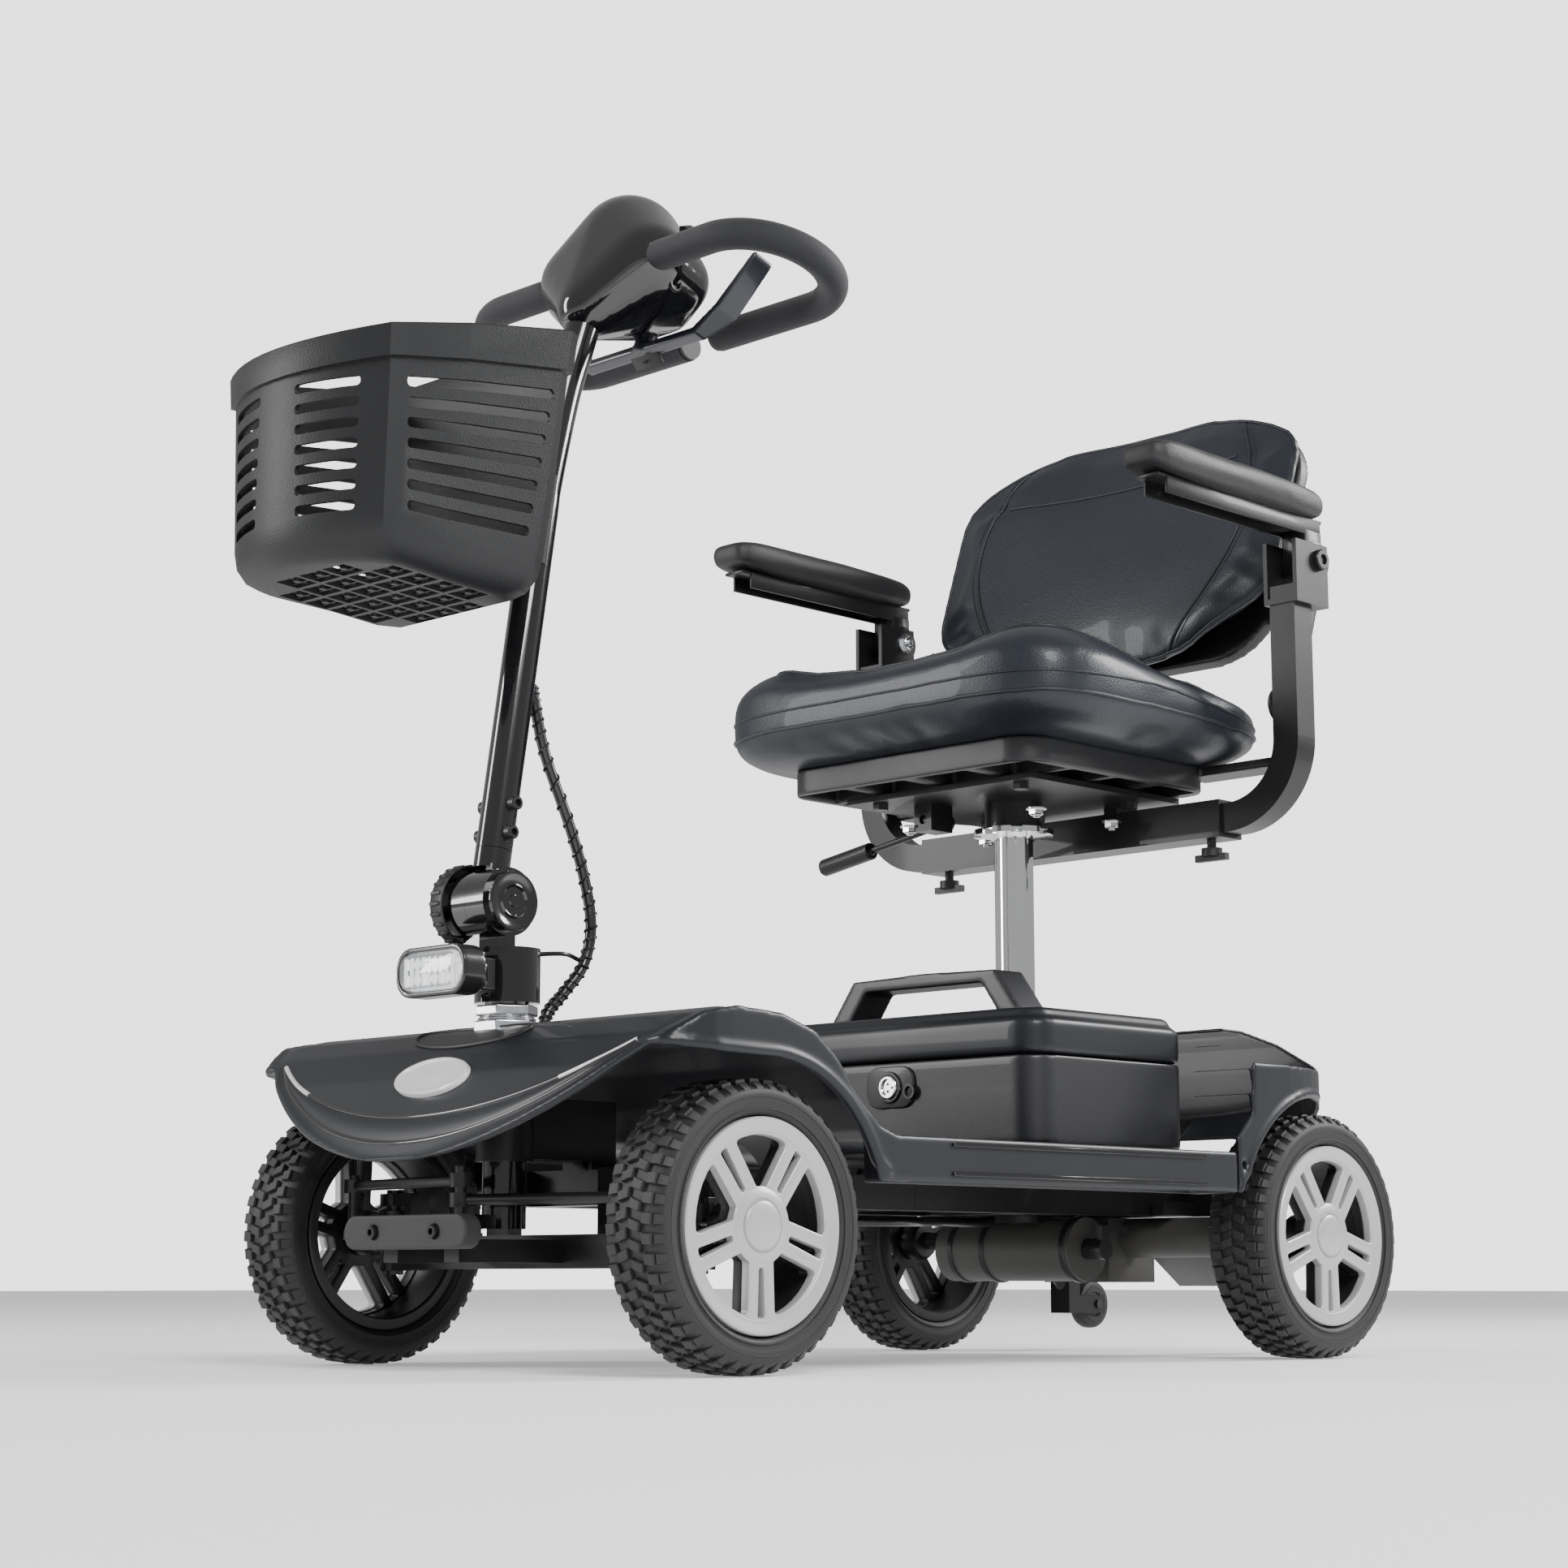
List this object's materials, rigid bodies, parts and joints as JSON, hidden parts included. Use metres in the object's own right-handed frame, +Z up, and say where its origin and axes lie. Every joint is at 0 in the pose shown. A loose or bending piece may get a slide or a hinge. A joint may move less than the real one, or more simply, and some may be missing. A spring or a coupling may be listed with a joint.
{
  "type": "mobility scooter",
  "caption": "Compact electric mobility scooter: adjustable steering column, basket, padded swivel seat with folding back and flip-up armrests, and a lift-out battery box.",
  "frame": {"origin": "on the ground, at the middle of the scooter's outline", "axes": "+Z up, the scooter faces -Y, +X is its own left side"},
  "size_m": [0.528, 1.0456, 0.9101],
  "materials": {
    "frame_black": "satin black powder coat",
    "cover_satin": "satin moulded plastic",
    "trim_gloss": "gloss black",
    "gear_grey": "grey painted casting",
    "bumper_rubber": "dull rubber",
    "nut_zinc": "bright zinc",
    "lamp_black": "gloss black",
    "lamp_clear": "clear",
    "wiring": "spiral wrap",
    "rod_steel": "dark",
    "tyre_black": "rubber",
    "wheel_silver": "silver paint",
    "column_gloss": "gloss black",
    "console_gloss": "piano black",
    "grip_foam": "foam",
    "knob_plastic": "moulded",
    "lever_plastic": "moulded",
    "dial_plastic": "moulded",
    "key_brass": "polished",
    "horn_yellow": "moulded",
    "basket_plastic": "textured",
    "box_dark": "moulded",
    "pack_grey": "battery case",
    "post_chrome": "polished",
    "pan_plastic": "moulded",
    "upholstery": "leather look",
    "pad_rubber": "grained",
    "lever_dark": "moulded"
  },
  "bodies": {
    "chassis": {"front_frame": "frame_black", "rear_frame": "frame_black", "deck_shell": "cover_satin", "nose_trim": "trim_gloss", "rear_shell": "cover_satin", "transaxle": "gear_grey", "front_bumper": "bumper_rubber"},
    "steering": {"steering_stem": "column_gloss", "head_nuts": "nut_zinc", "headlight_housing": "lamp_black", "headlight_lens": "lamp_clear", "cable_harness": "wiring"},
    "tie_rod_left": {"tie_rod_left": "rod_steel"},
    "tie_rod_right": {"tie_rod_right": "rod_steel"},
    "knuckle_left": {"knuckle_left": "rod_steel"},
    "knuckle_right": {"knuckle_right": "rod_steel"},
    "front_left_wheel": {"tyre_front_left": "tyre_black", "rim_front_left": "wheel_silver"},
    "front_right_wheel": {"tyre_front_right": "tyre_black", "rim_front_right": "wheel_silver"},
    "rear_left_wheel": {"tyre_rear_left": "tyre_black", "rim_rear_left": "wheel_silver"},
    "rear_right_wheel": {"tyre_rear_right": "tyre_black", "rim_rear_right": "wheel_silver"},
    "anti_tip_left": {"anti_tip_wheel_left": "bumper_rubber"},
    "anti_tip_right": {"anti_tip_wheel_right": "bumper_rubber"},
    "tiller": {"tiller_sleeve": "column_gloss", "tiller_tube": "column_gloss", "tiller_bolts": "rod_steel", "basket_bracket": "frame_black", "console_lower": "console_gloss", "console_upper": "console_gloss", "handlebar": "grip_foam", "handlebar_caps": "knob_plastic"},
    "fold_knob": {"fold_knob": "knob_plastic"},
    "throttle": {"throttle_lever": "lever_plastic"},
    "speed_dial": {"speed_dial": "dial_plastic"},
    "key": {"key": "key_brass"},
    "horn": {"horn_button": "horn_yellow"},
    "basket": {"basket": "basket_plastic"},
    "battery_box": {"battery_case": "box_dark", "battery_lid": "cover_satin", "battery_handle": "box_dark", "battery_pack": "pack_grey"},
    "seat_post": {"seat_post": "post_chrome", "star_plate": "nut_zinc"},
    "seat": {"seat_plate": "frame_black", "seat_pan": "pan_plastic", "seat_cushion": "upholstery", "armrest_receiver": "frame_black"},
    "backrest": {"backrest_cushion": "upholstery", "backrest_shell": "pan_plastic"},
    "arm_slide_left": {"armrest_frame_left": "frame_black"},
    "arm_slide_right": {"armrest_frame_right": "frame_black"},
    "armrest_left": {"armrest_left": "pad_rubber"},
    "armrest_right": {"armrest_right": "pad_rubber"},
    "clamp_left": {"clamp_knob_left": "knob_plastic"},
    "clamp_right": {"clamp_knob_right": "knob_plastic"},
    "release_lever": {"release_lever": "frame_black"},
    "freewheel_lever": {"freewheel_lever": "lever_dark"}
  },
  "joints": [
    {"name": "steer", "type": "hinge", "parent": "chassis", "child": "steering", "pos_m": [0, -0.304, 0.2], "axis": [0, 0, 1], "range_deg": [-24, 24]},
    {"name": "kingpin_left", "type": "hinge", "parent": "chassis", "child": "knuckle_left", "pos_m": [0.168, -0.271, 0.1], "axis": [0, 0, 1], "range_deg": [-24, 24]},
    {"name": "kingpin_right", "type": "hinge", "parent": "chassis", "child": "knuckle_right", "pos_m": [-0.168, -0.271, 0.1], "axis": [0, 0, 1], "range_deg": [-24, 24]},
    {"name": "tie_rod_left_pivot", "type": "hinge", "parent": "steering", "child": "tie_rod_left", "pos_m": [0, -0.344, 0.12], "axis": [0, 0, 1], "range_deg": [-24, 24]},
    {"name": "tie_rod_right_pivot", "type": "hinge", "parent": "steering", "child": "tie_rod_right", "pos_m": [0, -0.344, 0.134], "axis": [0, 0, 1], "range_deg": [-24, 24]},
    {"name": "front_left_spin", "type": "hinge", "parent": "knuckle_left", "child": "front_left_wheel", "pos_m": [0.204, -0.271, 0.1], "axis": [1, 0, 0], "continuous": true},
    {"name": "front_right_spin", "type": "hinge", "parent": "knuckle_right", "child": "front_right_wheel", "pos_m": [-0.204, -0.271, 0.1], "axis": [1, 0, 0], "continuous": true},
    {"name": "rear_left_spin", "type": "hinge", "parent": "chassis", "child": "rear_left_wheel", "pos_m": [0.216, 0.377, 0.1], "axis": [1, 0, 0], "continuous": true},
    {"name": "rear_right_spin", "type": "hinge", "parent": "chassis", "child": "rear_right_wheel", "pos_m": [-0.216, 0.377, 0.1], "axis": [1, 0, 0], "continuous": true},
    {"name": "anti_tip_left_spin", "type": "hinge", "parent": "chassis", "child": "anti_tip_left", "pos_m": [0.11, 0.498, 0.042], "axis": [1, 0, 0], "continuous": true},
    {"name": "anti_tip_right_spin", "type": "hinge", "parent": "chassis", "child": "anti_tip_right", "pos_m": [-0.11, 0.498, 0.042], "axis": [1, 0, 0], "continuous": true},
    {"name": "tiller_angle", "type": "hinge", "parent": "steering", "child": "tiller", "pos_m": [0, -0.325, 0.333], "axis": [1, 0, 0], "range_deg": [-14, 12]},
    {"name": "fold_knob_turn", "type": "hinge", "parent": "tiller", "child": "fold_knob", "pos_m": [0, -0.325, 0.333], "axis": [1, 0, 0], "range_deg": [0, 360]},
    {"name": "throttle_rock", "type": "hinge", "parent": "tiller", "child": "throttle", "pos_m": [0, -0.17359, 0.78976], "axis": [0, 0.309, 0.9511], "range_deg": [-12, 12], "stiffness_Nm_per_rad": 0.6},
    {"name": "speed_dial_turn", "type": "hinge", "parent": "tiller", "child": "speed_dial", "pos_m": [0, -0.15565, 0.86756], "axis": [0, 0.9135, 0.4067], "range_deg": [-120, 120]},
    {"name": "key_turn", "type": "hinge", "parent": "tiller", "child": "key", "pos_m": [0.03, -0.15891, 0.87487], "axis": [0, 0.9135, 0.4067], "range_deg": [0, 90]},
    {"name": "horn_press", "type": "slide", "parent": "tiller", "child": "horn", "axis": [0, -0.9135, -0.4067], "range_m": [0, 0.003], "stiffness_N_per_m": 300},
    {"name": "basket_lift", "type": "slide", "parent": "tiller", "child": "basket", "axis": [0, 0.0716, 0.9974], "range_m": [0, 0.06]},
    {"name": "battery_lift", "type": "slide", "parent": "chassis", "child": "battery_box", "axis": [0, 0, 1], "range_m": [0, 0.05]},
    {"name": "seat_height", "type": "slide", "parent": "chassis", "child": "seat_post", "axis": [0, 0, 1], "range_m": [-0.04, 0.04]},
    {"name": "seat_swivel", "type": "hinge", "parent": "seat_post", "child": "seat", "pos_m": [0, 0.268, 0.47], "axis": [0, 0, 1], "continuous": true},
    {"name": "backrest_fold", "type": "hinge", "parent": "seat", "child": "backrest", "pos_m": [0, 0.371, 0.548], "axis": [1, 0, 0], "range_deg": [0, 68]},
    {"name": "armrest_width_left", "type": "slide", "parent": "seat", "child": "arm_slide_left", "axis": [1, 0, 0], "range_m": [0, 0.04]},
    {"name": "armrest_width_right", "type": "slide", "parent": "seat", "child": "arm_slide_right", "axis": [-1, 0, 0], "range_m": [0, 0.04]},
    {"name": "armrest_flip_left", "type": "hinge", "parent": "arm_slide_left", "child": "armrest_left", "pos_m": [0.238, 0.372, 0.668], "axis": [-1, 0, 0], "range_deg": [0, 95]},
    {"name": "armrest_flip_right", "type": "hinge", "parent": "arm_slide_right", "child": "armrest_right", "pos_m": [-0.238, 0.372, 0.668], "axis": [-1, 0, 0], "range_deg": [0, 95]},
    {"name": "clamp_left_turn", "type": "hinge", "parent": "seat", "child": "clamp_left", "pos_m": [0.15, 0.353, 0.43], "axis": [0, 0, 1], "range_deg": [0, 360]},
    {"name": "clamp_right_turn", "type": "hinge", "parent": "seat", "child": "clamp_right", "pos_m": [-0.15, 0.353, 0.43], "axis": [0, 0, 1], "range_deg": [0, 360]},
    {"name": "swivel_release", "type": "hinge", "parent": "seat", "child": "release_lever", "pos_m": [-0.056, 0.2404, 0.461], "axis": [0, 1, 0], "range_deg": [0, 12], "stiffness_Nm_per_rad": 4, "springref_deg": -14.32},
    {"name": "freewheel_switch", "type": "hinge", "parent": "chassis", "child": "freewheel_lever", "pos_m": [0.0505, 0.311, 0.09], "axis": [-1, 0, 0], "range_deg": [0, 40]}
  ],
  "couplings": [
    {"joint": "kingpin_left", "follows": "steer", "ratio": 1},
    {"joint": "kingpin_right", "follows": "steer", "ratio": 1},
    {"joint": "tie_rod_left_pivot", "follows": "steer", "ratio": -1},
    {"joint": "tie_rod_right_pivot", "follows": "steer", "ratio": -1}
  ]
}
